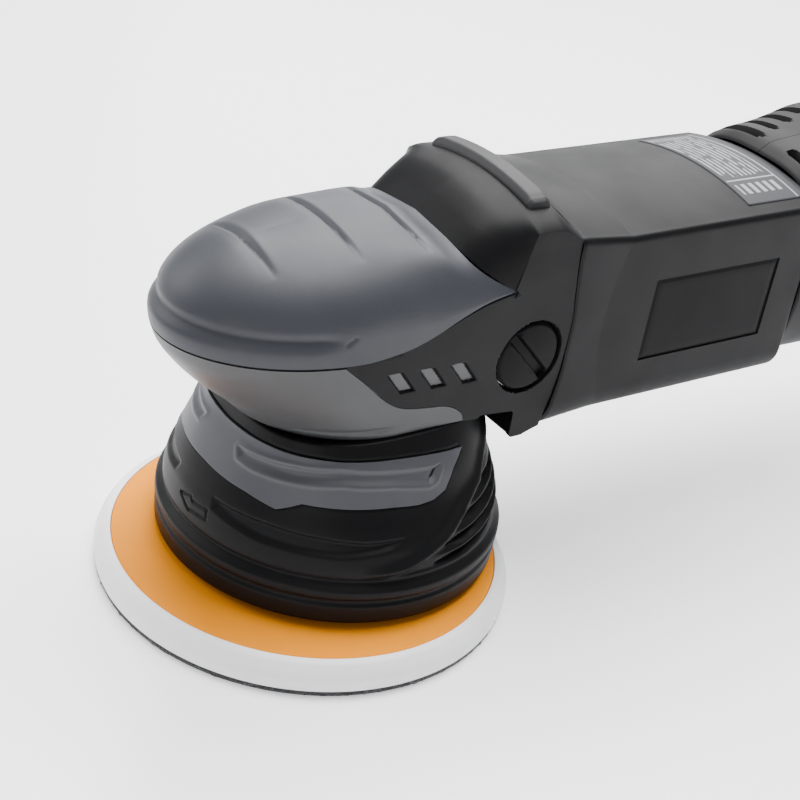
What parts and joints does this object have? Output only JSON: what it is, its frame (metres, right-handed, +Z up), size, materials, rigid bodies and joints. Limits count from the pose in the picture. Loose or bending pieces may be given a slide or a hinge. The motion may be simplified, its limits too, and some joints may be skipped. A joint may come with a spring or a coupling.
{
  "type": "dual action polisher",
  "caption": "Electric dual action polisher: round backing plate on an eccentric drive under a vented shroud, padded head with hand stop, barrel motor housing and rear trigger handle.",
  "frame": {"origin": "drive spindle's axis in the plane of the pad's working face", "axes": "+Z up along the drive spindle, -Y towards the nose, +Y towards the rear handle and cord inlet, +X towards the operator's left"},
  "size_m": [0.1499, 0.437, 0.152],
  "materials": {
    "hook_fabric": "hook-and-loop facing, black",
    "pad_urethane": "matte white urethane rim",
    "hub_orange": "semi-matte orange reinforced plastic",
    "steel": "machined steel",
    "dark_steel": "black oxide steel",
    "bearing_steel": "ground bearing steel",
    "counterweight_iron": "cast, machined faces",
    "cast_aluminium": "die cast, lightly shot blasted",
    "black_shell": "fine-grained moulded nylon",
    "black_rubber": "soft-touch overmould",
    "cover_grey": "blue-grey soft-touch overmould",
    "lower_grey": "satin grey moulding",
    "insert_grey": "grey overmoulded band",
    "badge_black": "plain satin badge",
    "label_black": null,
    "plug_black": "satin moulded plug",
    "laminated_steel": "stacked laminations",
    "copper": "enamelled copper",
    "fan_plastic": "moulded nylon fan",
    "brown_insulator": "phenolic moulding",
    "carbon": "pressed carbon",
    "board_green": "circuit board"
  },
  "bodies": {
    "body": {"spindle_bearing_lower": "bearing_steel", "bearing_clip": "dark_steel", "spindle_bearing_upper": "bearing_steel", "bearing_plate": "cast_aluminium", "gear_case_screws": "steel", "gear_case": "cast_aluminium", "bearing_carrier": "cast_aluminium", "motor_bearing_front": "bearing_steel", "shroud": "black_shell", "shroud_insert": "insert_grey", "upper_cover": "cover_grey", "lower_cover": "lower_grey", "head_shell": "black_shell", "ridge_pad": "black_rubber", "side_plug_left": "plug_black", "side_plug_right": "plug_black", "motor_housing": "black_shell", "badge_left": "badge_black", "badge_right": "badge_black", "housing_screws": "steel", "rating_label": "label_black", "stator_core": "laminated_steel", "field_coils": "copper", "air_baffle": "fan_plastic", "rear_bracket": "fan_plastic", "motor_bearing_rear": "bearing_steel", "brush_holders": "brown_insulator", "carbon_brushes": "carbon", "brush_springs": "steel", "handle_left": "black_shell", "handle_right": "black_shell", "handle_screws": "steel", "trigger_pin": "steel", "switch_body": "fan_plastic", "dial_axle": "steel", "control_board": "board_green", "cord_gland": "black_rubber"},
    "drive": {"counterweight": "counterweight_iron", "eccentric_clip": "dark_steel", "eccentric_bearing_lower": "bearing_steel", "eccentric_bearing_upper": "bearing_steel", "drive_spindle": "steel", "gear_clip": "dark_steel", "ring_gear": "steel"},
    "pad": {"hook_disc": "hook_fabric", "pad_foam": "pad_urethane", "backing_hub": "hub_orange", "pad_washer": "steel", "pad_bolt": "dark_steel", "pad_spindle": "steel", "pad_clip": "dark_steel"},
    "armature": {"pinion": "steel", "armature_shaft": "steel", "armature_core": "laminated_steel", "armature_windings": "copper", "commutator": "copper", "cooling_fan": "fan_plastic"},
    "trigger": {"trigger": "black_rubber"},
    "lock_button": {"lock_button": "plug_black"},
    "speed_dial": {"speed_dial": "black_rubber"}
  },
  "joints": [
    {"name": "drive_spin", "type": "hinge", "parent": "body", "child": "drive", "pos_m": [0, 0, 0], "axis": [0, 0, 1], "continuous": true},
    {"name": "pad_spin", "type": "hinge", "parent": "drive", "child": "pad", "pos_m": [0.00324, -0.00999, 0], "axis": [0, 0, 1], "continuous": true},
    {"name": "armature_spin", "type": "hinge", "parent": "body", "child": "armature", "pos_m": [0, 0.1, 0.099], "axis": [0, 1, 0], "continuous": true},
    {"name": "trigger_squeeze", "type": "hinge", "parent": "body", "child": "trigger", "pos_m": [0, 0.242, 0.078], "axis": [1, 0, 0], "range_deg": [0, 6], "stiffness_Nm_per_rad": 1.2, "springref_deg": -8.59},
    {"name": "lock_press", "type": "slide", "parent": "body", "child": "lock_button", "axis": [-1, 0, 0], "range_m": [0, 0.003], "stiffness_N_per_m": 500, "springref_m": -0.002},
    {"name": "speed_turn", "type": "hinge", "parent": "body", "child": "speed_dial", "pos_m": [0, 0.304, 0.118], "axis": [1, 0, 0], "range_deg": [0, 270]}
  ],
  "couplings": [
    {"joint": "armature_spin", "follows": "drive_spin", "ratio": 3}
  ]
}
